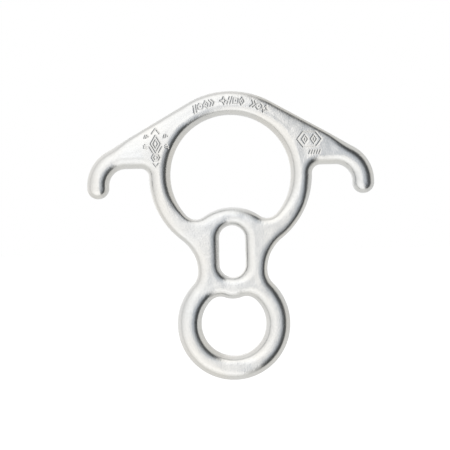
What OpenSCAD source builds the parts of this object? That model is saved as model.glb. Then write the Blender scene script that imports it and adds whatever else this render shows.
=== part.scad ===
// Rescue figure-eight descender with two ears, forged in one piece from stainless steel.
// The plate stands upright: X to the right, Z up, thickness along Y, front face at -Y.
// The origin is the centre of the connector eye. Units are millimetres.
// The forging is one solid; each node below is one named region of it, and neighbouring
// regions meet face to face on flat cuts across the bar.

/* [Rope ring] */
// Height of the rope ring's centre above the connector eye's centre
ring_z = 77.4; // [76:0.1:80]
// Radius of the rope hole
hole_r = 31.3; // [30:0.1:32]
// Outer radius of the rope ring over the top, between the ears
crown_r = 43.2; // [42:0.1:45]
// Outer radius of the rope ring below the ears
side_r = 42.4; // [41.6:0.1:44]
// Radius of the two rounded corners at the bottom of the rope hole
lobe_r = 7; // [6:0.1:8]
// Height of the lowest points of the rope hole
lobe_floor_z = 54.6; // [54:0.1:55]
// Height of the crest of the bar between the rope hole and the slot
saddle_z = 60.6; // [60.4:0.1:62]

/* [Neck and slot] */
// Width of the slot
slot_w = 13.5; // [10:0.1:14.5]
// Length of the slot, round ends included
slot_h = 27; // [22:0.1:27.4]
// Height of the slot's centre
slot_z = 37.6; // [37.4:0.1:37.7]
// Width of the neck at its narrowest
waist_w = 36.1; // [35:0.1:38]
// Height of the narrowest point of the neck
waist_z = 27.6; // [27:0.1:28.4]

/* [Connector eye] */
// Radius of the connector eye
eye_r = 16.8; // [16:0.1:17]
// Outer radius of the ring around the connector eye
eye_ring_r = 29.3; // [28.6:0.1:29.6]
// Radius of the two rounded corners at the top of the eye
eye_lobe_r = 7; // [6:0.1:7.5]
// Height of the highest points of the eye
eye_roof_z = 14.1; // [14:0.1:14.4]
// Height of the middle of the eye's roof, where it dips
eye_dip_z = 12.9; // [12.4:0.1:13.2]

/* [Ears] */
// Distance from the centre plane to the centre of each ear's bend
ear_x = 54.6; // [54:0.1:60]
// Height of the centre of each ear's bend
ear_z = 73; // [72:0.1:75]
// Inner radius of the bend
ear_in_r = 8.7; // [8:0.1:9.5]
// Width of the ear's bar
ear_w = 11.4; // [10.4:0.1:12.4]
// Length of the straight end below the bend, up to the rounded tip
ear_drop = 1; // [0.5:0.1:12]
// Radius of the inside corner where the ear meets the rope ring
crook_r = 4.5; // [3:0.1:5.5]

/* [Section] */
// Radius of the rounding along every edge
edge_r = 5.8; // [5:0.1:6.4]
// How far the rounding reaches in from the outline before the flat land starts
edge_w = 4.6; // [3.6:0.1:4.65]

/* [Hidden] */
steel = [0.78, 0.79, 0.80];

// Resolution: widest turn of one outline segment, longest chord, and turn per edge facet
turn_step = 12;
chord = 2.6;
edge_step = 13;

// Points closer than this are the same point
shared_gap = 0.01;

ring_c = [0, ring_z];
ear_c = [ear_x, ear_z];
ear_out_r = ear_in_r + ear_w;

// The straight shoulder touches the rope ring and the ear's bend at the same angle
shoulder_run = ear_c - ring_c;
shoulder_a = heading(shoulder_run) + acos((crown_r - ear_out_r) / norm(shoulder_run));

// Inside corner between the rope ring and the flat roof under the ear
crook_z = ear_z + ear_in_r - crook_r;
crook_c = [sqrt((side_r + crook_r) ^ 2 - (crook_z - ring_z) ^ 2), crook_z];
crook_a = heading(crook_c - ring_c);

// Bottom corners of the rope hole: circles that touch the hole's circle from inside
lobe_z = lobe_floor_z + lobe_r;
lobe_c = [sqrt((hole_r - lobe_r) ^ 2 - (lobe_z - ring_z) ^ 2), lobe_z];
lobe_a = heading(lobe_c - ring_c);

// Crest above the slot: a circle that touches both bottom corners from outside
saddle_r = touching_r(lobe_c, lobe_r, saddle_z);
saddle_c = [0, saddle_z - saddle_r];
saddle_a = heading(lobe_c - saddle_c);
saddle_end = saddle_c + polar(saddle_r, saddle_a);

// Slot ends
slot_r = slot_w / 2;
slot_top = [0, slot_z + slot_h / 2 - slot_r];
slot_bottom = [0, slot_z - slot_h / 2 + slot_r];
slot_cut_a = heading(saddle_end - slot_top);

// Neck fillets: both touch the narrowest point, and one ring each
waist_x = waist_w / 2;
low_fillet_r = (waist_x ^ 2 + waist_z ^ 2 - eye_ring_r ^ 2) / 2 / (eye_ring_r - waist_x);
low_fillet_c = [waist_x + low_fillet_r, waist_z];
top_fillet_r = (waist_x ^ 2 + (ring_z - waist_z) ^ 2 - side_r ^ 2) / 2 / (side_r - waist_x);
top_fillet_c = [waist_x + top_fillet_r, waist_z];
top_fillet_a = heading(top_fillet_c - ring_c);
neck_cut_a = 180 - asin((slot_bottom.y - waist_z) / top_fillet_r);

// Connector eye: roof corners inside the eye's circle, and the dip between them
eye_cut_a = heading(low_fillet_c);
eye_lobe_z = eye_roof_z - eye_lobe_r;
eye_lobe_c = [sqrt((eye_r - eye_lobe_r) ^ 2 - eye_lobe_z ^ 2), eye_lobe_z];
eye_lobe_a = heading(eye_lobe_c);
eye_dip_r = touching_r(mirrored(eye_lobe_c), eye_lobe_r, -eye_dip_z);
eye_dip_c = [0, eye_dip_z + eye_dip_r];
eye_dip_a = heading(eye_dip_c - eye_lobe_c);

// Edge facets, as a turn from the outline (0) to the land on each face
land_a = acos(1 - edge_w / edge_r);
edge_facets = ceil(land_a / edge_step);

function polar(r, a) = r * [cos(a), sin(a)];
function heading(v) = atan2(v.y, v.x);
function unit(v) = v / norm(v);
function mirrored(p) = [p.x, -p.y];

// Radius of the circle centred on x = 0 that has its top at height z and touches,
// from outside, the circle of radius r around c
function touching_r(c, r, z) = (c.x ^ 2 + (c.y - z) ^ 2 - r ^ 2) / 2 / (r - c.y + z);

// A rim is a run of outline walked with the metal on its left, as pairs of a point
// and the direction into the metal. Counter-clockwise arcs have the metal inside.
function arc_rim(c, r, from, to) =
    let (turn = to - from)
    let (count = ceil(max(abs(turn) / turn_step, abs(turn) * PI / 180 * r / chord)))
    let (inward = turn > 0 ? -1 : 1)
    [
        for (i = [0:count])
            let (u = polar(1, from + turn * i / count))
            [c + r * u, inward * u]
    ];

// One rim out of several that follow each other; a point that two of them share is kept once
function joined(rims) = [
    for (i = [0:len(rims) - 1], j = [0:len(rims[i]) - 1])
        let (before = rims[max(i - 1, 0)])
        let (gap = norm(rims[i][j][0] - before[len(before) - 1][0]))
        if (i == 0 || j > 0 || gap > shared_gap)
            rims[i][j]
];

// Direction from a rim's end into the metal, along the cut that leads to the next rim
function along_cut(end, other) =
    let (u = unit(other[0] - end[0]))
    [end[0], u / (u * end[1])];

// Closes a list of rims into one loop, with flat cuts between them
function closed_loop(rims) = [
    for (i = [0:len(rims) - 1])
        let (rim = rims[i])
        let (last = len(rim) - 1)
        let (before = rims[(i + len(rims) - 1) % len(rims)])
        let (after = rims[(i + 1) % len(rims)])
        for (j = [0:last])
            j == 0 ? along_cut(rim[0], before[len(before) - 1])
            : j == last ? along_cut(rim[last], after[0])
            : rim[j]
];

// Twice the signed area of a triangle: positive if it runs counter-clockwise
function area2(a, b, c) = cross(b - a, c - a);

function in_triangle(p, a, b, c) =
    area2(a, b, p) >= 0 && area2(b, c, p) >= 0 && area2(c, a, p) >= 0;

// Whether corner i of a polygon, listed as point numbers, can be cut off with nothing inside it
function can_clip(points, ring, i) =
    let (n = len(ring))
    let (corner = [ring[(i + n - 1) % n], ring[i], ring[(i + 1) % n]])
    let (a = points[corner[0]], b = points[corner[1]], c = points[corner[2]])
    area2(a, b, c) > 0
        && len([
            for (k = ring)
                if (len(search(k, corner)) == 0 && in_triangle(points[k], a, b, c))
                    k
        ]) == 0;

function next_clip(points, ring, i = 0) =
    i == len(ring) - 1 || can_clip(points, ring, i) ? i : next_clip(points, ring, i + 1);

// Triangles that fill a counter-clockwise polygon, cut off one corner at a time
function filled(points, ring) =
    let (n = len(ring))
    let (i = next_clip(points, ring))
    n < 3 ? [] : concat(
        [[ring[(i + n - 1) % n], ring[i], ring[(i + 1) % n]]],
        filled(points, [for (j = [0:n - 1]) if (j != i) ring[j]])
    );

// Solid of one region: flat lands front and back, rounded along the rims
module forged(rims) {
    loop = closed_loop(rims);
    size = len(loop);
    layers = [-edge_facets:edge_facets];
    points = [
        for (k = layers)
            let (a = land_a * k / edge_facets)
            for (at = loop)
                let (p = at[0] + edge_r * (1 - cos(a)) * at[1])
                [p.x, edge_r * sin(a), p.y]
    ];
    land = filled([for (at = loop) at[0] + edge_w * at[1]], [for (i = [0:size - 1]) i]);
    front = [for (t = land) [t[2], t[1], t[0]]];
    back = [for (t = land) 2 * edge_facets * size * [1, 1, 1] + t];
    sides = [
        for (k = [0:2 * edge_facets - 1], i = [0:size - 1])
            let (a = k * size + i)
            let (b = k * size + (i + 1) % size)
            each [[a, b, b + size], [a, b + size, a + size]]
    ];
    color(steel)
        polyhedron(points, concat(front, back, sides), convexity = 6);
}

// Top arch of the rope ring, between the two ears
module crown() {
    forged([
        arc_rim(ring_c, crown_r, shoulder_a, 180 - shoulder_a),
        arc_rim(ring_c, hole_r, 180 - shoulder_a, shoulder_a)
    ]);
}

// Web between the rope ring and the ear, under the sloping shoulder
module shoulder() {
    roof = joined([
        arc_rim(crook_c, crook_r, crook_a + 180, 90),
        arc_rim(ear_c, ear_in_r, 90, shoulder_a)
    ]);
    slope_in = -polar(1, shoulder_a);
    slope = [
        [ear_c + polar(ear_out_r, shoulder_a), slope_in],
        [ring_c + polar(crown_r, shoulder_a), slope_in]
    ];
    forged([
        roof,
        slope,
        arc_rim(ring_c, hole_r, shoulder_a, crook_a)
    ]);
}

// Hooked ear that hangs down outside the rope ring and keeps the rope from locking
module ear() {
    tip_c = ear_c + [ear_in_r + ear_w / 2, -ear_drop];
    forged([
        joined([
            arc_rim(ear_c, ear_in_r, shoulder_a, 0),
            arc_rim(tip_c, ear_w / 2, 180, 360),
            arc_rim(ear_c, ear_out_r, 0, shoulder_a)
        ])
    ]);
}

// Side of the rope ring below the ear
module ring_side() {
    forged([
        arc_rim(ring_c, side_r, lobe_a, crook_a),
        arc_rim(ring_c, hole_r, crook_a, lobe_a)
    ]);
}

// Bar across the device between the rope hole and the slot
module saddle() {
    forged([
        arc_rim(saddle_c, saddle_r, saddle_a, 180 - saddle_a),
        arc_rim(slot_top, slot_r, 180 - slot_cut_a, slot_cut_a)
    ]);
}

// Bar beside the slot, flaring up into the rope ring
module neck() {
    flank = joined([
        arc_rim(top_fillet_c, top_fillet_r, neck_cut_a, top_fillet_a + 180),
        arc_rim(ring_c, side_r, top_fillet_a, lobe_a)
    ]);
    slot_wall = joined([
        arc_rim(slot_top, slot_r, slot_cut_a, 0),
        [[slot_bottom + [slot_r, 0], [1, 0]]]
    ]);
    forged([
        flank,
        arc_rim(lobe_c, lobe_r, lobe_a, saddle_a - 180),
        slot_wall
    ]);
}

// Bar between the slot and the connector eye, with the dip in the eye's roof
module eye_bridge() {
    left_eye_lobe_c = [-eye_lobe_c.x, eye_lobe_c.y];
    left_low_c = [-low_fillet_c.x, waist_z];
    left_top_c = [-top_fillet_c.x, waist_z];
    eye_roof = joined([
        arc_rim([0, 0], eye_r, 180 - eye_cut_a, 180 - eye_lobe_a),
        arc_rim(left_eye_lobe_c, eye_lobe_r, 180 - eye_lobe_a, 180 - eye_dip_a),
        arc_rim(eye_dip_c, eye_dip_r, -eye_dip_a, eye_dip_a - 180),
        arc_rim(eye_lobe_c, eye_lobe_r, eye_dip_a, eye_lobe_a),
        arc_rim([0, 0], eye_r, eye_lobe_a, eye_cut_a)
    ]);
    right_flank = joined([
        arc_rim(low_fillet_c, low_fillet_r, eye_cut_a + 180, 180),
        arc_rim(top_fillet_c, top_fillet_r, 180, neck_cut_a)
    ]);
    left_flank = joined([
        arc_rim(left_top_c, top_fillet_r, 180 - neck_cut_a, 0),
        arc_rim(left_low_c, low_fillet_r, 0, -eye_cut_a)
    ]);
    forged([
        right_flank,
        arc_rim(slot_bottom, slot_r, 0, -180),
        left_flank,
        eye_roof
    ]);
}

// Ring around the connector eye, open at the top where the bridge closes it
module connector_ring() {
    forged([
        arc_rim([0, 0], eye_ring_r, -180 - eye_cut_a, eye_cut_a),
        arc_rim([0, 0], eye_r, eye_cut_a, -180 - eye_cut_a)
    ]);
}

module on_left() {
    mirror([1, 0, 0])
        children();
}

crown();
on_left() shoulder();  // left_shoulder
shoulder();  // right_shoulder
on_left() ear();  // left_ear
ear();  // right_ear
on_left() ring_side();  // left_ring_side
ring_side();  // right_ring_side
saddle();
on_left() neck();  // left_neck
neck();  // right_neck
eye_bridge();
connector_ring();
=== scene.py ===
"""Looks of the rescue figure-eight descender with ears.

The forging is one continuous surface. It is worked out from the same outline arcs as the CAD
part. A rounded bar follows every edge, and its outermost part is trimmed to a narrow straight
land. A slightly lower web fills the wide areas, and the marks are pressed into the front.
The surface is then cut into one closed piece for each CAD node.
Plan coordinates are (x, z) in millimetres, and the plate's thickness runs along Y.
"""

import math
from collections import namedtuple

import bpy
import numpy as np
from mathutils import Matrix, Vector
from mathutils.geometry import delaunay_2d_cdt


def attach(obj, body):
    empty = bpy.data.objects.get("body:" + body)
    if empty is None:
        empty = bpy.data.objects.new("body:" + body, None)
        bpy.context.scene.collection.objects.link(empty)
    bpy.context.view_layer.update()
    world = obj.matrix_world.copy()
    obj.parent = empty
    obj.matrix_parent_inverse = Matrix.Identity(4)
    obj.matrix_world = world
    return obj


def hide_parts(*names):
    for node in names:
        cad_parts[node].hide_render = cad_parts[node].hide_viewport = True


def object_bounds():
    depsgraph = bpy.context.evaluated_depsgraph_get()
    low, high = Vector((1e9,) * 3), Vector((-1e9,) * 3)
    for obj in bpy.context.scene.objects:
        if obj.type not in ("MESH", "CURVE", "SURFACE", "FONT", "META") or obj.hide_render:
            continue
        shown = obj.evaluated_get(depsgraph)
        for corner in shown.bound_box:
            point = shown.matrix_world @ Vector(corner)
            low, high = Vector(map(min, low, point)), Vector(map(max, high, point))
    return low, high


MM = 0.001

# ---- Driving dimensions of the outline, the same as the CAD part's -------------------------
RING_Z = 77.4
HOLE_R = 31.3
CROWN_R = 43.2
SIDE_R = 42.4
LOBE_R = 7.0
LOBE_FLOOR_Z = 54.6
SADDLE_Z = 60.6
SLOT_W = 13.5
SLOT_H = 27.0
SLOT_Z = 37.6
WAIST_W = 36.1
WAIST_Z = 27.6
EYE_R = 16.8
EYE_RING_R = 29.3
EYE_LOBE_R = 7.0
EYE_ROOF_Z = 14.1
EYE_DIP_Z = 12.9
EAR_X = 54.6
EAR_Z = 73.0
EAR_IN_R = 8.7
EAR_W = 11.4
EAR_DROP = 1.0
CROOK_R = 4.5

# ---- Cross-section: a pair of numbers is the range over which something sets in or fades -----
BAR_R = 5.8  # radius of the rounded bar along every edge
BAND_HALF = 0.8  # half the width of the flat band round the outline, front to back
BAR_CENTRE = math.sqrt(BAR_R**2 - BAND_HALF**2)

FULLER = 0.7  # how much squarer than round the section is at the neck and above the rope hole
FULLER_FROM = (14.0, 30.0)  # heights over which the neck's section gets squarer
FULLER_TO = (56.0, 74.0)  # heights over which it gets round again
FULLER_CROWN = (23.0, 30.0)  # above the ring's centre, where the crown's inner side gets squarer
SQUARE_SPOTS = [  # (x, z, reach, how much squarer still)
    (21.0, 56.5, 7.0, 1.6),  # lower corners of the rope hole
    (0.0, 22.0, 4.5, 1.6),  # bottom of the slot
    (0.0, -18.0, 6.0, 1.2),  # bottom of the connector eye
]

LAND_W = 1.1  # width of the straight land that trimming leaves along every edge
LAND_EAR = 0.5  # how much wider it is on the ears
LAND_EYE = 0.8  # and round the connector eye
LAND_HOLE = 0.8  # and round the top of the rope hole
LAND_EAR_X = (44.0, 54.0)  # distances from the centre plane
LAND_EYE_Z = (0.0, 16.0)  # heights
LAND_HOLE_AWAY = (35.0, 38.0)  # distances from the rope ring's centre
LAND_HOLE_UP = (-25.0, 15.0)  # heights above the rope ring's centre
LAND_SLOPE = 1.66  # rise per millimetre of the land
SLOT_SHALLOWER = 0.6  # how much less it rises in the slot
SLOT_AWAY = (1.6, 3.2)  # distances from the slot's wall
LAND_ROLL = 0.3  # how softly the land rolls over into the bar

DRAFT_SLOPE = 2.3  # rise per millimetre of the drafted edge along the crown and shoulders
DRAFT_W = 0.7  # width of the drafted edge
DRAFT_ROLL = 1.35  # how softly it rolls over into the flat face
DRAFT_BESIDE = (0.3, 2.5)  # it gives way where another edge is this much nearer
DRAFT_X = (EAR_X - 4, EAR_X + 8)  # distances from the centre plane

WEB_DEPTH = (4.4, 8.6)  # depths over which the bar gives way to the web
WEB_DROP = 0.05  # how far the web lies below the bar's crest
EAR_THINNING = 0.15  # share of the thickness lost from the shoulders to the ears' outer sides
CREST_DEPTH = (1.6, 3.6)  # depths over which the rounding of the crest sets in
CREST_SPREAD = 1.15  # how widely the crest between two edges is rounded over
CREST_RINGS = (0.5, 1.1, 1.7, 2.4)  # where the rounding samples the depth, in spreads

WAVE_COUNT = 22  # waves that make up the forging's unevenness
WAVE_LENGTHS = (3.2, 14)  # shortest and longest wave
WAVE_HEIGHT = 0.00085  # height of a wave per millimetre of its length
CALM_DEPTH = (0, 2.5)  # depths over which the unevenness sets in

# ---- Point spacing --------------------------------------------------------------------------
RIM_STEP = 0.6
RIM_TURN = 6.0  # largest turn of an arc from one point to the next, in degrees
ROW_STEP = 0.2  # the rows of points run along every edge
LAST_ROW = 2.6  # depth at which the rows end and the free filling starts
FILL_STEP = 0.6
FILL_CLEAR = 0.45  # share of a step that the filling keeps clear of the rows and the cuts
MARK_STEP = 0.17
MARK_INSIDE = 0.1  # how far past a stroke's slope the fine points reach
MARK_OUTSIDE = 0.25  # and how far past it the coarse ones start
LEAN_REACH = 3.0  # how far from a cut the rows of points lean towards it
SWELLING = 0.04  # how far a straight border swells, only while its region is being filled
SAME_POINT = 1e-7  # nearer than this, two points count as one while filling

# ---- Stamped marks --------------------------------------------------------------------------
STROKE_HALF = 0.16  # half the width of a stroke's flat bottom
STROKE_SLOPE = 0.3  # width of the slope on each side
STROKE_SEARCH = 3.0  # a point farther than this from a stroke isn't measured to it
STAMP_DEPTH = 0.22

# ---- Steel: noise scales are per metre ------------------------------------------------------
GRAIN_SCALE = 2600
BLAST_SCALE = 1400
PITS_SCALE = 900
CLOUD_SCALE = 55
TINT_SCALE = 24
COOL = (0.82, 0.83, 0.84, 1)
WARM = (0.86, 0.85, 0.83, 1)
# dark colour: real dullness in the pits, painted shade inside the pressed marks
DULL_AND_SHADE = (0.52, 0.52, 0.51, 1)
PITS_DULLING = 0.16
# share of painted shade: inside the pressed marks the colour is mixed this far towards the dark
# colour
MARKS_PAINTED_SHADE = 0.28
ROUGHNESS = (0.17, 0.27)  # from the smoothest cloud to the roughest
ROUGHNESS_RUBBED = -0.03  # change on the crests
ROUGHNESS_MARKS = 0.12  # change inside the marks
ROUGHNESS_GRAIN = (-0.04, 0.05)  # change from grain to grain
GRAIN_HEIGHT = 0.35  # heights of the grain and the blast next to the pits'
BLAST_HEIGHT = 3.6
BUMP_STRENGTH = 0.5
BUMP_DISTANCE = 0.00003

# ---- Studio ---------------------------------------------------------------------------------
LIGHT_STRENGTH = 1.3
UPRIGHT_BLEND = (0.1, 0.9)  # how far up or down a direction is before that light is full
RIGHT_BLEND = (0.12, 0.56)  # the same to the right
RIGHT_TILT = 0.03  # how much the dark right side leans upwards
FLOOR_HALF = 3.0  # metres
FLOOR_GLOW = 1.15
FLOOR_MATT_SHARE = 0.1
CAMERA_AIM = (-3.45, 51.34)  # plan coordinates
CAMERA_VIEW = 234.4  # width of the view at the object
CAMERA_ROLL = 1.39  # degrees
CAMERA_LENS = 100

Arc = namedtuple("Arc", "centre radius start end")
Line = namedtuple("Line", "start end")


# =============================================================================================
# Outline
# =============================================================================================


def polar(radius, angle):
    """A plan vector from its length and its angle in degrees."""
    return radius * np.array([math.cos(math.radians(angle)), math.sin(math.radians(angle))])


def heading(vector):
    """The angle of a plan vector in degrees."""
    return math.degrees(math.atan2(vector[1], vector[0]))


def touching_radius(centre, radius, height):
    """Radius of the circle centred on x = 0, with its top at a height, that touches a circle."""
    x, z = centre
    return (x * x + (z - height) ** 2 - radius**2) / 2 / (radius - z + height)


def mirrored(rims):
    """The same rims on the other side of the centre plane, still with the metal on their left."""

    def flip(point):
        return np.array([-point[0], point[1]])

    def other(part):
        if isinstance(part, Arc):
            return Arc(flip(part.centre), part.radius, 180 - part.end, 180 - part.start)
        return Line(flip(part.end), flip(part.start))

    return [[other(part) for part in reversed(rim)] for rim in reversed(rims)]


def shoulder_angle():
    """Where the sloping shoulder touches the rope ring, and the ear's bend at the same angle."""
    run = np.array([EAR_X, EAR_Z - RING_Z])
    return heading(run) + math.degrees(math.acos((CROWN_R - EAR_IN_R - EAR_W) / np.hypot(*run)))


def outline():
    """Each region's rims. A rim is a run of arcs and lines walked with the metal on its left:
    a counter-clockwise arc has the metal inside it. Flat cuts join one rim to the next."""
    ring_c = np.array([0, RING_Z])
    eye_c = np.zeros(2)

    # Ears
    ear_c = np.array([EAR_X, EAR_Z])
    ear_out_r = EAR_IN_R + EAR_W
    shoulder_a = shoulder_angle()
    tip_c = ear_c + np.array([EAR_IN_R + EAR_W / 2, -EAR_DROP])
    crook_z = EAR_Z + EAR_IN_R - CROOK_R
    crook_c = np.array([math.sqrt((SIDE_R + CROOK_R) ** 2 - (crook_z - RING_Z) ** 2), crook_z])
    crook_a = heading(crook_c - ring_c)

    # Bottom of the rope hole: two rounded corners with the saddle's crest between them
    lobe_z = LOBE_FLOOR_Z + LOBE_R
    lobe_c = np.array([math.sqrt((HOLE_R - LOBE_R) ** 2 - (lobe_z - RING_Z) ** 2), lobe_z])
    lobe_a = heading(lobe_c - ring_c)
    saddle_r = touching_radius(lobe_c, LOBE_R, SADDLE_Z)
    saddle_c = np.array([0, SADDLE_Z - saddle_r])
    saddle_a = heading(lobe_c - saddle_c)
    saddle_end = saddle_c + polar(saddle_r, saddle_a)

    # Slot
    slot_r = SLOT_W / 2
    slot_top = np.array([0, SLOT_Z + SLOT_H / 2 - slot_r])
    slot_bottom = np.array([0, SLOT_Z - SLOT_H / 2 + slot_r])
    slot_cut_a = heading(saddle_end - slot_top)

    # Neck: each fillet touches the narrowest point and one ring
    waist_x = WAIST_W / 2
    low_r = (waist_x**2 + WAIST_Z**2 - EYE_RING_R**2) / 2 / (EYE_RING_R - waist_x)
    low_c = np.array([waist_x + low_r, WAIST_Z])
    top_r = (waist_x**2 + (RING_Z - WAIST_Z) ** 2 - SIDE_R**2) / 2 / (SIDE_R - waist_x)
    top_c = np.array([waist_x + top_r, WAIST_Z])
    top_a = heading(top_c - ring_c)
    neck_cut_a = 180 - math.degrees(math.asin((slot_bottom[1] - WAIST_Z) / top_r))

    # Connector eye: two rounded corners in its roof with a dip between them
    eye_cut_a = heading(low_c)
    eye_lobe_z = EYE_ROOF_Z - EYE_LOBE_R
    eye_lobe_c = np.array([math.sqrt((EYE_R - EYE_LOBE_R) ** 2 - eye_lobe_z**2), eye_lobe_z])
    eye_lobe_a = heading(eye_lobe_c)
    dip_r = touching_radius(eye_lobe_c * (1, -1), EYE_LOBE_R, -EYE_DIP_Z)
    dip_c = np.array([0, EYE_DIP_Z + dip_r])
    dip_a = heading(dip_c - eye_lobe_c)

    shoulder = [
        [
            Arc(crook_c, CROOK_R, crook_a + 180, 90),
            Line(crook_c + (0, CROOK_R), ear_c + (0, EAR_IN_R)),
            Arc(ear_c, EAR_IN_R, 90, shoulder_a),
        ],
        [Line(ear_c + polar(ear_out_r, shoulder_a), ring_c + polar(CROWN_R, shoulder_a))],
        [Arc(ring_c, HOLE_R, shoulder_a, crook_a)],
    ]
    ear = [
        [
            Arc(ear_c, EAR_IN_R, shoulder_a, 0),
            Line(ear_c + (EAR_IN_R, 0), tip_c - (EAR_W / 2, 0)),
            Arc(tip_c, EAR_W / 2, 180, 360),
            Line(tip_c + (EAR_W / 2, 0), ear_c + (ear_out_r, 0)),
            Arc(ear_c, ear_out_r, 0, shoulder_a),
        ]
    ]
    ring_side = [
        [Arc(ring_c, SIDE_R, lobe_a, crook_a)],
        [Arc(ring_c, HOLE_R, crook_a, lobe_a)],
    ]
    neck = [
        [
            Arc(top_c, top_r, neck_cut_a, top_a + 180),
            Arc(ring_c, SIDE_R, top_a, lobe_a),
        ],
        [Arc(lobe_c, LOBE_R, lobe_a, saddle_a - 180)],
        [
            Arc(slot_top, slot_r, slot_cut_a, 0),
            Line(slot_top + (slot_r, 0), slot_bottom + (slot_r, 0)),
        ],
    ]
    flank = [
        Arc(low_c, low_r, eye_cut_a + 180, 180),
        Arc(top_c, top_r, 180, neck_cut_a),
    ]
    half_roof = [
        Arc(eye_lobe_c, EYE_LOBE_R, dip_a, eye_lobe_a),
        Arc(eye_c, EYE_R, eye_lobe_a, eye_cut_a),
    ]
    dip = Arc(dip_c, dip_r, -dip_a, dip_a - 180)
    eye_bridge = [
        flank,
        [Arc(slot_bottom, slot_r, 0, -180)],
        mirrored([flank])[0],
        [*mirrored([half_roof])[0], dip, *half_roof],
    ]
    return {
        "crown": [
            [Arc(ring_c, CROWN_R, shoulder_a, 180 - shoulder_a)],
            [Arc(ring_c, HOLE_R, 180 - shoulder_a, shoulder_a)],
        ],
        "left_shoulder": mirrored(shoulder),
        "right_shoulder": shoulder,
        "left_ear": mirrored(ear),
        "right_ear": ear,
        "left_ring_side": mirrored(ring_side),
        "right_ring_side": ring_side,
        "saddle": [
            [Arc(saddle_c, saddle_r, saddle_a, 180 - saddle_a)],
            [Arc(slot_top, slot_r, 180 - slot_cut_a, slot_cut_a)],
        ],
        "left_neck": mirrored(neck),
        "right_neck": neck,
        "eye_bridge": eye_bridge,
        "connector_ring": [
            [Arc(eye_c, EYE_RING_R, -180 - eye_cut_a, eye_cut_a)],
            [Arc(eye_c, EYE_R, eye_cut_a, -180 - eye_cut_a)],
        ],
    }


def walk(rim):
    """Points along a rim, and at each one the direction into the metal."""
    points, inward = [], []
    for number, part in enumerate(rim):
        if isinstance(part, Arc):
            turn = part.end - part.start
            length = math.radians(abs(turn)) * part.radius
            steps = max(2, round(length / RIM_STEP), round(abs(turn) / RIM_TURN))
            unit = np.array([polar(1, part.start + turn * i / steps) for i in range(steps + 1)])
            here = part.centre + part.radius * unit
            into = -unit if turn > 0 else unit
        else:
            along = part.end - part.start
            length = np.hypot(*along)
            steps = max(1, round(length / RIM_STEP))
            here = part.start + np.linspace(0, 1, steps + 1)[:, None] * along
            into = np.tile(np.array([-along[1], along[0]]) / length, (steps + 1, 1))
        skip = 1 if number else 0
        points.append(here[skip:])
        inward.append(into[skip:])
    return np.vstack(points), np.vstack(inward)


def depth_in(points, parts):
    """How deep each plan point lies inside the outline, and below 0 outside it."""
    slack = 1e-3
    found = np.full(len(points), np.inf)
    for part in parts:
        if isinstance(part, Arc):
            away = points - part.centre
            turned = np.degrees(np.arctan2(away[:, 1], away[:, 0])) - min(part.start, part.end)
            beside = (turned + slack) % 360 <= abs(part.end - part.start) + 2 * slack
            depth = part.radius - np.hypot(away[:, 0], away[:, 1])
            if part.end < part.start:
                depth = -depth
        else:
            along = part.end - part.start
            length = np.hypot(*along)
            along = along / length
            away = points - part.start
            travel = away @ along
            beside = (travel >= -slack) & (travel <= length + slack)
            depth = away @ np.array([-along[1], along[0]])
        closer = beside & (np.abs(depth) < np.abs(found))
        found = np.where(closer, depth, found)
    return found


# =============================================================================================
# Surface
# =============================================================================================


def smoothstep(low, high, value):
    """0 below low, 1 above high, and eased in between."""
    t = np.clip((value - low) / (high - low), 0, 1)
    return t * t * (3 - 2 * t)


def rounded_depth(points, depth, parts):
    """Depth with the sharp ridge halfway between two edges rounded over."""
    deep = depth > CREST_DEPTH[0]
    spot = points[deep]
    total = np.zeros(len(spot))
    weight = 0
    for ring, reach in enumerate(CREST_RINGS):
        share = reach * math.exp(-reach * reach / 2)
        for turn in range(8):
            step = polar(reach * CREST_SPREAD, 45 * turn + 22.5 * (ring % 2))
            total += share * depth_in(spot + step, parts)
            weight += share
    soft = depth.copy()
    mix = smoothstep(*CREST_DEPTH, depth[deep])
    soft[deep] += mix * (total / weight - depth[deep])
    return soft


def below_top(points):
    """Depth below the forging's top edge: the crown and the two sloping shoulders."""
    away = points - (0, RING_Z)
    turned = np.abs(np.degrees(np.arctan2(away[:, 0], away[:, 1])))
    down = CROWN_R - np.hypot(away[:, 0], away[:, 1])
    slope = polar(1, shoulder_angle())
    sloping = CROWN_R - np.abs(away[:, 0]) * slope[0] - away[:, 1] * slope[1]
    return np.where(turned < 90 - heading(slope), down, sloping)


def beside_hole(points):
    """1 right beside the top of the rope hole, fading to 0 lower down and farther out."""
    up = points[:, 1] - RING_Z
    away = np.hypot(points[:, 0], up)
    return (1 - smoothstep(*LAND_HOLE_AWAY, away)) * smoothstep(*LAND_HOLE_UP, up)


def land_width(points):
    """Width of the trimmed land."""
    ears = smoothstep(*LAND_EAR_X, np.abs(points[:, 0]))
    eye = 1 - smoothstep(*LAND_EYE_Z, points[:, 1])
    return LAND_W + LAND_EAR * ears + LAND_EYE * eye + LAND_HOLE * beside_hole(points)


def rounded_edge(points, depth):
    """Height of a round bar along the edge, squarer in section where FULLER and SQUARE_SPOTS
    say so."""
    x, z = np.abs(points[:, 0]), points[:, 1]
    fuller = smoothstep(*FULLER_FROM, z) * (1 - smoothstep(*FULLER_TO, z))
    fuller += beside_hole(points) * smoothstep(*FULLER_CROWN, z - RING_Z)
    power = 2 + FULLER * fuller
    for spot_x, spot_z, reach, more in SQUARE_SPOTS:
        power += more * np.exp(-((x - spot_x) ** 2 + (z - spot_z) ** 2) / reach**2)
    share = (BAR_CENTRE - np.clip(depth, 0, BAR_CENTRE)) / BAR_R
    return BAR_R * (1 - share**power) ** (1 / power)


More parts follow.
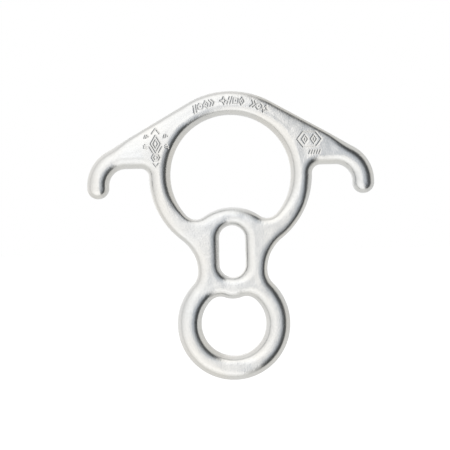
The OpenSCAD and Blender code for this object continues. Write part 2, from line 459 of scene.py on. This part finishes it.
def trimmed_edge(points, depth):
    """Height of the round bar with its outermost part trimmed to a straight land."""
    bar = rounded_edge(points, depth)
    width = land_width(points)
    from_slot = np.maximum(np.abs(points[:, 1] - SLOT_Z) - (SLOT_H - SLOT_W) / 2, 0)
    from_slot = np.hypot(points[:, 0], from_slot) - SLOT_W / 2
    slope = LAND_SLOPE - SLOT_SHALLOWER * (1 - smoothstep(*SLOT_AWAY, from_slot))
    land = rounded_edge(points, width) - slope * (width - depth)
    return (bar + land - np.sqrt((bar - land) ** 2 + LAND_ROLL**2)) / 2


def drafted_edge(depth):
    """Height of a flat face with a sloping edge, softly rolled over between the two."""
    short = DRAFT_W - depth
    return BAR_R - DRAFT_SLOPE * (short + np.sqrt(short**2 + DRAFT_ROLL**2)) / 2


def half_thickness(points, depth):
    """Distance from the middle plane to the surface, from the rounded depth."""
    top = 1 - smoothstep(*DRAFT_BESIDE, below_top(points) - depth)
    top *= 1 - smoothstep(*DRAFT_X, np.abs(points[:, 0]))
    bar = trimmed_edge(points, depth)
    bar += top * (drafted_edge(depth) - bar)
    web = BAR_R - WEB_DROP
    body = bar + (web - bar) * smoothstep(*WEB_DEPTH, depth)
    ear_side = EAR_X + EAR_IN_R + EAR_W
    outward = np.clip((np.abs(points[:, 0]) - SIDE_R) / (ear_side - SIDE_R), 0, 1)
    return body * (1 - EAR_THINNING * outward**2)


def hammered(points, side):
    """The shallow unevenness that forging and tumbling leave, from waves in all directions."""
    random = np.random.default_rng(side)
    height = np.zeros(len(points))
    for length in np.geomspace(*WAVE_LENGTHS, WAVE_COUNT):
        angle = random.uniform(0, 360)
        phase = random.uniform(0, 2 * math.pi)
        height += length * np.sin(points @ polar(2 * math.pi / length, angle) + phase)
    return height * WAVE_HEIGHT


# =============================================================================================
# Stamped marks
# =============================================================================================


def loop(*corners):
    """A closed run of strokes."""
    return [*corners, corners[0]]


def hexagon(radius, start=0.0, z=0.0):
    """A hexagon centred on x = 0, from the angle of its first corner."""
    return [tuple(np.array([0.0, z]) + polar(radius, start + 60 * i)) for i in range(7)]


DOT = [(0, 0.12), (0, -0.12)]
DIAMOND = [loop((0, 2), (1.25, 0), (0, -2), (-1.25, 0)), DOT]
SLASHES = [[(-1.3, -1.8), (-0.1, 1.8)], [(0.1, -1.8), (1.3, 1.8)]]
HEXAGON = [hexagon(1.65, start=30), DOT]
STAR = [loop(*[tuple(polar(1.95 if i % 2 == 0 else 0.75, 45 * i)) for i in range(8)])]
CHEVRONS = [[(-1.3, 1.6), (-0.1, 0), (-1.3, -1.6)], [(0.1, 1.6), (1.3, 0), (0.1, -1.6)]]
BOX = [loop((-1.25, 1.4), (1.25, 1.4), (1.25, -1.4), (-1.25, -1.4)), DOT]

CROWN_ROW = [
    SLASHES, HEXAGON, DIAMOND, CHEVRONS, None,
    STAR, SLASHES, BOX, DIAMOND, None,
    CHEVRONS, HEXAGON, STAR,
]
CROWN_ROW_R = 38.3
CROWN_ROW_FROM = 117.0  # degrees
CROWN_ROW_TO = 61.0
CROWN_ROW_SCALE = 1.02

SPARK = [[(-0.9, -0.8), (-0.4, 0.8)], [(0.1, -0.8), (0.6, 0.8)], [(1.3, -0.1), (1.3, 0.1)]]
BADGE = [
    [(-2.0, 7.0), (0, 9.8), (2.0, 7.0)],
    loop((0, 6.2), (2.6, 1.8), (0, -2.6), (-2.6, 1.8)),
    loop((0, 3.9), (1.2, 1.8), (0, -0.3), (-1.2, 1.8)),
    [(-3.2, 0.2), (-1.6, -2.6)],
    [(3.2, 0.2), (1.6, -2.6)],
    hexagon(2.2, z=-5.3),
    hexagon(1.0, z=-5.3),
    [(-1.4, -8.3), (0, -10.1), (1.4, -8.3)],
]
BADGE_AT = (-38.2, 92.3)
BADGE_SIDE_MARKS = [((-5.0, 5.6), 0), ((5.0, 5.6), 0), ((-5.4, 0.2), 90), ((5.6, 0.2), 90)]
BADGE_SIDE_SCALE = 0.95

SHIELD = [
    loop((6.3, 0), (3.3, 3.9), (-3.3, 3.9), (-6.3, 0), (-3.3, -3.9), (3.3, -3.9)),
    loop((-2.3, 2.3), (-0.7, 0), (-2.3, -2.3), (-3.9, 0)),
    loop((2.3, 2.3), (0.7, 0), (2.3, -2.3), (3.9, 0)),
    [(-2.3, 0.5), (-2.3, -0.5)],
    [(2.3, 0.5), (2.3, -0.5)],
]
SHIELD_AT = (41.2, 94.7)
FOOT_ROW_AT = (43.9, 88.1)
FOOT_ROW_COUNT = 5
FOOT_ROW_PITCH = 1.3
TICK = [[(-0.35, -0.85), (0.35, 0.85)]]


def strokes():
    """Every stroke of the marks as (x, z) of its two ends. The marks say nothing: they are plain
    shapes where the real device has its own."""
    found = []

    def add(shape, at, angle=0.0, scale=1.0):
        across, up = polar(scale, angle), polar(scale, angle + 90)
        for run in shape:
            placed = [np.array(at) + x * across + z * up for x, z in run]
            found.extend((*a, *b) for a, b in zip(placed, placed[1:]))

    for number, shape in enumerate(CROWN_ROW):
        share = number / (len(CROWN_ROW) - 1)
        angle = CROWN_ROW_FROM + share * (CROWN_ROW_TO - CROWN_ROW_FROM)
        spot = np.array([0, RING_Z]) + polar(CROWN_ROW_R, angle)
        if shape:
            add(shape, spot, angle - 90, CROWN_ROW_SCALE)
    add(BADGE, BADGE_AT)
    for offset, angle in BADGE_SIDE_MARKS:
        add(SPARK, np.add(BADGE_AT, offset), angle, BADGE_SIDE_SCALE)
    add(SHIELD, SHIELD_AT)
    for number in range(FOOT_ROW_COUNT):
        shift = (number - (FOOT_ROW_COUNT - 1) / 2) * FOOT_ROW_PITCH
        add(TICK, np.add(FOOT_ROW_AT, (shift, 0)))
    return np.array(found)


def stroke_distance(points, marks):
    """Distance from each point to the nearest stroke, or infinity where none is near."""
    found = np.full(len(points), np.inf)
    for x0, z0, x1, z1 in marks:
        start, along = np.array([x0, z0]), np.array([x1 - x0, z1 - z0])
        off_middle = np.abs(points - start - along / 2).max(1)
        near = np.flatnonzero(off_middle < STROKE_SEARCH + np.abs(along).max())
        away = points[near] - start
        share = np.clip(away @ along / max(along @ along, 1e-9), 0, 1)
        gap = np.hypot(*(away - share[:, None] * along).T)
        found[near] = np.minimum(found[near], gap)
    return found


# =============================================================================================
# Mesh
# =============================================================================================


def leaning(points, inward, before, after):
    """Directions into the metal that lean over, near a rim's two ends, to run along the cuts to
    the points before and after it. So every row of points ends exactly on the cuts."""
    steps = np.hypot(*np.diff(points, axis=0).T)
    travel = np.concatenate([[0], np.cumsum(steps)])
    leaned = inward.copy()
    for end, other, distance in ((0, before, travel), (-1, after, travel[-1] - travel)):
        unit = (other - points[end]) / np.hypot(*(other - points[end]))
        lean = unit / (unit @ inward[end]) - inward[end]
        leaned += np.clip(1 - distance / LEAN_REACH, 0, 1)[:, None] * lean
    return leaned


def arched(count):
    """A tiny swelling along a run of border points, zero at both ends. While a region is being
    filled it keeps points on a straight run from counting as one line."""
    share = np.linspace(0, 1, count)[:, None]
    return SWELLING * 4 * share * (1 - share)


def inside_polygon(points, corners):
    """Whether each point lies inside a closed polygon."""
    x, z = points[:, 0], points[:, 1]
    inside = np.zeros(len(points), bool)
    for (ax, az), (bx, bz) in zip(corners, np.roll(corners, -1, 0)):
        crosses = (az > z) != (bz > z)
        with np.errstate(divide="ignore", invalid="ignore"):
            inside ^= crosses & (x < (bx - ax) * (z - az) / (bz - az) + ax)
    return inside


def hex_grid(low, high, step):
    """Points on a triangular lattice that covers a box. It is fixed in the plan, not to the box."""
    rise = step * math.sqrt(3) / 2
    rows = np.arange(math.floor(low[1] / rise), math.ceil(high[1] / rise) + 1)
    columns = np.arange(math.floor(low[0] / step) - 1, math.ceil(high[0] / step) + 1)
    x, z = np.meshgrid(columns * step, rows * rise)
    x = x + (rows[:, None] % 2) * step / 2
    return np.column_stack([x.ravel(), z.ravel()])


def fill_points(border, cuts, parts, marks, last_depth):
    """Points for the free filling inside a region's border: fine ones at the marks' strokes."""
    low, high = border.min(0), border.max(0)
    coarse = hex_grid(low, high, FILL_STEP)
    coarse = coarse[inside_polygon(coarse, border)]
    reach = STROKE_HALF + STROKE_SLOPE
    coarse = coarse[stroke_distance(coarse, marks) > reach + MARK_OUTSIDE]
    fine = hex_grid(low, high, MARK_STEP)
    fine = fine[stroke_distance(fine, marks) < reach + MARK_INSIDE]
    fine = fine[inside_polygon(fine, border)]
    kept = []
    for points, step in ((coarse, FILL_STEP), (fine, MARK_STEP)):
        clear = FILL_CLEAR * step
        points = points[depth_in(points, parts) > last_depth + clear]
        points = points[stroke_distance(points, cuts) > clear]
        kept.append(points)
    return np.vstack(kept)


def plan_of(rims, parts, marks):
    """A region in plan: {rim: points on the outline, plan: all other points, faces: front faces
    as numbers into plan, walls: faces that use the outline, caps: chains of points on each cut}."""
    walked = [walk(rim) for rim in rims]
    rows = np.linspace(0, LAST_ROW, round(LAST_ROW / ROW_STEP) + 1)
    count = len(walked)
    inward = []
    for number, (points, into) in enumerate(walked):
        before = walked[number - 1][0][-1]
        after = walked[(number + 1) % count][0][0]
        inward.append(leaning(points, into, before, after))

    plan, faces, walls, tops, rim_rows = [], [], [], [], []
    total = 0
    rim_start = 0
    for (points, _), into in zip(walked, inward):
        size = len(points)
        numbers = total + np.arange(size * len(rows)).reshape(len(rows), size)
        plan.append(np.vstack([points + depth * into for depth in rows]))
        total += size * len(rows)
        for lower, upper in zip(numbers, numbers[1:]):
            faces += [
                [lower[i], lower[i + 1], upper[i + 1], upper[i]] for i in range(size - 1)
            ]
        walls += [
            [rim_start + i, rim_start + i + 1, numbers[0][i + 1], numbers[0][i]]
            for i in range(size - 1)
        ]
        rim_rows.append((rim_start, numbers))
        rim_start += size
        tops.append(numbers[-1])
    plan = np.vstack(plan)

    # The border of the filling: each rim's last row, then points along the cut to the next rim
    border, swell, caps, cut_points, cut_lines = [], [], [], [], []
    for number in range(count):
        here, there = rim_rows[number], rim_rows[(number + 1) % count]
        start, end = plan[here[1][-1][-1]], plan[there[1][-1][0]]
        run = end - start
        steps = max(1, round(np.hypot(*run) / FILL_STEP))
        between = [start + run * i / steps for i in range(1, steps)]
        numbers = list(range(total, total + len(between)))
        total += len(between)
        cut_points += between
        cut_lines.append((*start, *end))
        border += [*tops[number], *numbers]
        outwards = np.array([run[1], -run[0]]) / np.hypot(*run)
        swell.append(-arched(len(tops[number])) * inward[number])
        swell.append(arched(steps + 1)[1:-1] * outwards)
        outline_ends = (here[0] + here[1].shape[1] - 1, there[0])
        caps.append((outline_ends, [*here[1][:, -1], *numbers, *there[1][::-1, 0]]))
    plan = np.vstack([plan, cut_points])

    inner = fill_points(plan[border], cut_lines, parts, marks, rows[-1])
    swollen = plan[border] + np.vstack(swell)
    corners = [Vector(p) for p in np.vstack([swollen, inner])]
    made = delaunay_2d_cdt(corners, [], [list(range(len(border)))], 1, SAME_POINT, True)
    origin = [ids[0] for ids in made[3]]
    number_of = np.array([*border, *range(total, total + len(inner))])
    triangles = np.array([[origin[v] for v in face] for face in made[2]])
    middles = np.array([(*corner,) for corner in corners])[triangles].mean(1)
    filled = triangles[inside_polygon(middles, swollen)]
    faces += number_of[filled].tolist()
    return {
        "rim": np.vstack([points for points, _ in walked]),
        "plan": np.vstack([plan, inner]),
        "faces": faces,
        "walls": walls,
        "caps": caps,
    }


def shape_of(rims, parts, marks):
    """The region's solid: its points in millimetres, its faces, how many of the faces are outer,
    and for each point how deep it is and how far it is pressed in. The back has no marks, so it
    is filled on its own, and meets the front along the outline and the cuts."""
    front, back = plan_of(rims, parts, marks), plan_of(rims, parts, marks[:0])
    rim = front["rim"]
    m, n = len(rim), len(front["plan"])
    points = [np.column_stack([rim[:, 0], np.zeros(m), rim[:, 1]])]
    facts = {"depth": [np.zeros(m)], "pressed": [np.zeros(m)]}
    faces = []
    halves = [(front, marks, m, 1), (back, marks[:0], m + n, -1)]
    for side, (half, half_marks, shift, order) in enumerate(halves, start=1):
        plan = half["plan"]
        depth = depth_in(plan, parts)
        gap = stroke_distance(plan, half_marks)
        pressed = 1 - smoothstep(STROKE_HALF, STROKE_HALF + STROKE_SLOPE, gap)
        height = half_thickness(plan, rounded_depth(plan, depth, parts))
        height += smoothstep(*CALM_DEPTH, depth) * hammered(plan, side) - STAMP_DEPTH * pressed
        points.append(np.column_stack([plan[:, 0], -order * height, plan[:, 1]]))
        facts["depth"].append(depth)
        facts["pressed"].append(pressed)
        faces += [[v + shift for v in face][::order] for face in half["faces"]]
        faces += [[a, b, c + shift, d + shift][::order] for a, b, c, d in half["walls"]]
    outer = len(faces)
    for (first, last), chain in front["caps"]:
        edge = [(v + m, v + m + n) for v in chain]
        for number, ((front_a, back_a), (front_b, back_b)) in enumerate(zip(edge, edge[1:])):
            face = [front_b, front_a, back_a, back_b]
            if number == 0:
                face.insert(2, first)
            if number == len(edge) - 2:
                face.append(last)
            faces.append(face)
    facts = {key: np.concatenate(values) for key, values in facts.items()}
    return np.vstack(points), faces, outer, facts


def face_normals(points, faces):
    """Area-weighted normals of faces, by Newell's rule."""
    normals = np.zeros((len(faces), 3))
    for size in sorted({len(face) for face in faces}):
        chosen = [i for i, face in enumerate(faces) if len(face) == size]
        corners = points[np.array([faces[i] for i in chosen])]
        following = np.roll(corners, -1, 1)
        normals[chosen] = np.cross(corners, following).sum(1) / 2
    return normals


def shared_normals(shapes):
    """Normals at every piece's points, averaged over the whole forging's outer faces, so that
    no seam shows where two pieces meet."""
    keys = np.round(np.vstack([shape[0] for shape in shapes]), 3)
    _, merged = np.unique(keys, axis=0, return_inverse=True)
    merged = merged.ravel()
    total = np.zeros((merged.max() + 1, 3))
    start = 0
    for points, faces, outer, _ in shapes:
        normals = face_normals(points, faces[:outer])
        for size in (3, 4):
            chosen = [i for i in range(outer) if len(faces[i]) == size]
            corners = merged[start + np.array([faces[i] for i in chosen])]
            for column in corners.T:
                np.add.at(total, column, normals[chosen])
        start += len(points)
    total /= np.linalg.norm(total, axis=1)[:, None]
    found, start = [], 0
    for points, *_ in shapes:
        found.append(total[merged[start : start + len(points)]])
        start += len(points)
    return found


def piece_of(name, shape, normals, material):
    """The finished piece for one CAD node."""
    points, faces, outer, facts = shape
    mesh = bpy.data.meshes.new(name)
    mesh.from_pydata((points * MM).tolist(), [], faces)
    mesh.polygons.foreach_set("use_smooth", [True] * len(faces))
    caps = face_normals(points, faces[outer:])
    caps /= np.linalg.norm(caps, axis=1)[:, None]
    loops = [normals[v] for face in faces[:outer] for v in face]
    loops += [cap for cap, face in zip(caps, faces[outer:]) for _ in face]
    mesh.normals_split_custom_set(np.array(loops).tolist())
    for key, values in facts.items():
        attribute = mesh.attributes.new(key, "FLOAT", "POINT")
        attribute.data.foreach_set("value", values.astype(np.float32))
    mesh.materials.append(material)
    piece = bpy.data.objects.new(name, mesh)
    bpy.context.scene.collection.objects.link(piece)
    return piece


# =============================================================================================
# Material
# =============================================================================================


class Nodes:
    """Short calls for building a node tree."""

    def __init__(self, tree):
        self.tree = tree
        tree.nodes.clear()

    def add(self, kind, values=None, **settings):
        node = self.tree.nodes.new(kind)
        for key, value in settings.items():
            setattr(node, key, value)
        for socket, value in (values or {}).items():
            if isinstance(value, bpy.types.NodeSocket):
                self.tree.links.new(value, node.inputs[socket])
            else:
                node.inputs[socket].default_value = value
        return node

    def between(self, value, low, high, to_low=0.0, to_high=1.0):
        """value eased from low..high to to_low..to_high."""
        node = self.add(
            "ShaderNodeMapRange",
            {0: value, 1: low, 2: high, 3: to_low, 4: to_high},
            interpolation_type="SMOOTHSTEP",
        )
        return node.outputs[0]

    def math(self, operation, *values):
        node = self.add("ShaderNodeMath", dict(enumerate(values)), operation=operation)
        return node.outputs[0]

    def mix(self, share, first, second, kind="RGBA"):
        node = self.add("ShaderNodeMix", data_type=kind)
        sockets = {"RGBA": (0, 6, 7, 2), "FLOAT": (0, 2, 3, 0)}[kind]
        for socket, value in zip(sockets, (share, first, second)):
            if isinstance(value, bpy.types.NodeSocket):
                self.tree.links.new(value, node.inputs[socket])
            else:
                node.inputs[socket].default_value = value
        return node.outputs[sockets[3]]

    def noise(self, place, scale, detail, roughness):
        values = {"Vector": place, "Scale": scale, "Detail": detail, "Roughness": roughness}
        return self.add("ShaderNodeTexNoise", values).outputs["Fac"]


def steel_material():
    """Tumbled stainless forging: satin grain, faint tint changes, rubbed crests, and painted shade
    inside the pressed marks.
    """
    material = bpy.data.materials.new("forged_steel")
    material.use_nodes = True
    n = Nodes(material.node_tree)
    place = n.add("ShaderNodeTexCoord").outputs["Object"]
    grain = n.noise(place, GRAIN_SCALE, 2.0, 0.6)
    pits = n.noise(place, PITS_SCALE, 3.0, 0.6)
    cloud = n.noise(place, CLOUD_SCALE, 4.0, 0.5)
    tint = n.noise(place, TINT_SCALE, 3.0, 0.5)
    blast = n.noise(place, BLAST_SCALE, 2.0, 0.4)
    pressed = n.add("ShaderNodeAttribute", attribute_name="pressed").outputs["Fac"]
    depth = n.add("ShaderNodeAttribute", attribute_name="depth").outputs["Fac"]

    colour = n.mix(n.between(tint, 0.35, 0.65), COOL, WARM)
    colour = n.mix(n.between(pits, 0.3, 0.75, 0.0, PITS_DULLING), colour, DULL_AND_SHADE)
    # painted shade: the colour is darkened inside the pressed marks
    colour = n.mix(n.math("MULTIPLY", pressed, MARKS_PAINTED_SHADE), colour, DULL_AND_SHADE)

    rough = n.between(cloud, 0.3, 0.7, *ROUGHNESS)
    rubbed = n.between(depth, 1.0, 4.0)
    rough = n.math("ADD", rough, n.math("MULTIPLY", rubbed, ROUGHNESS_RUBBED))
    rough = n.math("ADD", rough, n.math("MULTIPLY", pressed, ROUGHNESS_MARKS))
    rough = n.math("ADD", rough, n.between(grain, 0.25, 0.75, *ROUGHNESS_GRAIN))

    height = n.math("ADD", n.math("MULTIPLY", grain, GRAIN_HEIGHT), pits)
    height = n.math("ADD", height, n.math("MULTIPLY", blast, BLAST_HEIGHT))
    bump = n.add(
        "ShaderNodeBump",
        {"Height": height, "Strength": BUMP_STRENGTH, "Distance": BUMP_DISTANCE},
    )
    shader = n.add(
        "ShaderNodeBsdfPrincipled",
        {"Base Color": colour, "Roughness": rough, "Metallic": 1.0, "Normal": bump.outputs[0]},
    )
    n.add("ShaderNodeOutputMaterial", {"Surface": shader.outputs[0]})
    return material


# =============================================================================================
# Studio
# =============================================================================================


def light_ramp(n, angle, stops):
    """Light by the angle away from the front's direction, -Y: (degrees, level, tint) stops."""
    ramp = n.add("ShaderNodeValToRGB", {0: angle})
    ramp.color_ramp.interpolation = "B_SPLINE"
    elements = ramp.color_ramp.elements
    for number, (degrees, level, tint) in enumerate(stops):
        if number < 2:
            element = elements[number]
            element.position = degrees / 180
        else:
            element = elements.new(degrees / 180)
        element.color = (level * tint[0], level * tint[1], level * tint[2], 1)
    return ramp.outputs[0]


def studio_light():
    """Soft white studio, brightest above and below the front. To the right of the front the
    room is dark, which gives every right-facing slope its dark band."""
    world = bpy.data.worlds.new("studio")
    bpy.context.scene.world = world
    world.use_nodes = True
    n = Nodes(world.node_tree)
    way = n.add("ShaderNodeTexCoord").outputs["Generated"]
    split = n.add("ShaderNodeSeparateXYZ", {0: way})
    x, y, z = split.outputs
    angle = n.math("ARCCOSINE", n.math("MULTIPLY", y, -1.0))
    angle = n.math("DIVIDE", angle, math.pi)
    across = n.math("SQRT", n.math("SUBTRACT", 1.0, n.math("MULTIPLY", y, y)))
    across = n.math("MAXIMUM", across, 0.0001)
    rightward = n.math("DIVIDE", x, across)
    upright = n.math("DIVIDE", z, across)

    warm, amber = (1, 0.99, 0.965), (1, 0.99, 0.945)
    plain, cool, dusk = (1, 1, 1), (0.93, 0.98, 1.04), (0.93, 1, 1.02)
    left = light_ramp(n, angle, [
        (0, 0.78, plain), (4, 0.90, warm), (14, 0.86, warm), (45, 0.78, warm), (62, 0.71, warm),
        (78, 0.62, warm), (92, 0.53, warm), (106, 0.62, warm), (120, 0.67, warm),
        (140, 0.85, warm), (180, 0.75, plain),
    ])
    upper = light_ramp(n, angle, [
        (0, 0.78, plain), (8, 0.96, plain), (20, 0.99, warm), (36, 0.95, warm),
        (54, 0.87, warm), (74, 0.68, warm), (90, 0.54, warm), (106, 0.64, warm),
        (120, 0.70, warm), (140, 0.86, warm), (180, 0.80, plain),
    ])
    lower = light_ramp(n, angle, [
        (0, 0.78, plain), (8, 0.80, warm), (22, 0.84, warm), (42, 0.97, warm),
        (58, 0.84, warm), (76, 0.68, amber), (90, 0.60, amber), (110, 0.58, amber),
        (140, 0.62, warm), (180, 0.60, plain),
    ])
    right = light_ramp(n, angle, [
        (0, 0.78, plain), (6, 0.61, plain), (14, 0.52, cool), (24, 0.42, cool),
        (34, 0.27, cool), (44, 0.11, cool), (54, 0.055, dusk), (66, 0.055, dusk),
        (76, 0.10, amber), (86, 0.36, amber), (95, 0.52, amber), (112, 0.55, amber),
        (140, 0.58, warm), (180, 0.55, plain),
    ])
    start, full = UPRIGHT_BLEND
    light = n.mix(n.between(upright, start, full), left, upper)
    light = n.mix(n.between(upright, -start, -full), light, lower)
    sideways = n.math("MULTIPLY_ADD", upright, RIGHT_TILT, rightward)
    light = n.mix(n.between(sideways, *RIGHT_BLEND), light, right)
    seen = n.add("ShaderNodeLightPath").outputs["Is Camera Ray"]
    light = n.mix(seen, light, (1, 1, 1, 1))
    strength = n.mix(seen, LIGHT_STRENGTH, 1.0, "FLOAT")
    shader = n.add("ShaderNodeBackground", {"Color": light, "Strength": strength})
    n.add("ShaderNodeOutputWorld", {"Surface": shader.outputs[0]})


def floor(level):
    """Plain pale floor under the object."""
    mesh = bpy.data.meshes.new("floor")
    signs = ((-1, -1), (1, -1), (1, 1), (-1, 1))
    corners = [(x * FLOOR_HALF, y * FLOOR_HALF, level) for x, y in signs]
    mesh.from_pydata(corners, [], [(0, 1, 2, 3)])
    material = bpy.data.materials.new("pale_floor")
    material.use_nodes = True
    n = Nodes(material.node_tree)
    glow = n.add("ShaderNodeEmission", {"Color": (1, 1, 1, 1), "Strength": FLOOR_GLOW})
    matt = n.add("ShaderNodeBsdfDiffuse", {"Color": (0.9, 0.9, 0.9, 1)})
    mixed = {0: FLOOR_MATT_SHARE, 1: glow.outputs[0], 2: matt.outputs[0]}
    both = n.add("ShaderNodeMixShader", mixed)
    n.add("ShaderNodeOutputMaterial", {"Surface": both.outputs[0]})
    mesh.materials.append(material)
    plane = bpy.data.objects.new("floor", mesh)
    bpy.context.scene.collection.objects.link(plane)
    plane.visible_glossy = False


def camera():
    """Camera straight in front of the object, with a slight roll."""
    aim = np.array(CAMERA_AIM) * MM
    view_width = CAMERA_VIEW * MM
    roll = math.radians(CAMERA_ROLL)
    data = bpy.data.cameras.new("camera")
    data.lens = CAMERA_LENS
    distance = view_width * data.lens / data.sensor_width
    right = Vector((math.cos(roll), 0, -math.sin(roll)))
    up = Vector((math.sin(roll), 0, math.cos(roll)))
    towards = Vector((0, -1, 0))
    turn = Matrix((right, up, towards)).transposed().to_4x4()
    made = bpy.data.objects.new("camera", data)
    made.matrix_world = Matrix.Translation((aim[0], -distance, aim[1])) @ turn
    data.clip_start = 0.01
    data.clip_end = 20
    bpy.context.scene.collection.objects.link(made)
    bpy.context.scene.camera = made


# =============================================================================================
# Scene
# =============================================================================================

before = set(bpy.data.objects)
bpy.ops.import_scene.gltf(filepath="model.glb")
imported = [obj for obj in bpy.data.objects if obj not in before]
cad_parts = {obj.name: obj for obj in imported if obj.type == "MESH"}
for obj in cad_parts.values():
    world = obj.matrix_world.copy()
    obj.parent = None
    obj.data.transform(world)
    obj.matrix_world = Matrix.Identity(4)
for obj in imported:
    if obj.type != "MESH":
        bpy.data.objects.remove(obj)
cad_low, cad_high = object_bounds()

regions = outline()
parts = [part for rims in regions.values() for rim in rims for part in rim]
marks = strokes()
shapes = [shape_of(rims, parts, marks) for rims in regions.values()]
steel = steel_material()
for name, shape, normals in zip(regions, shapes, shared_normals(shapes)):
    piece = piece_of(f"{name}_forging", shape, normals, steel)
    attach(piece, "root")
    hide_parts(name)

studio_light()
floor(cad_low.z)
camera()
bpy.context.scene.view_settings.view_transform = "Standard"
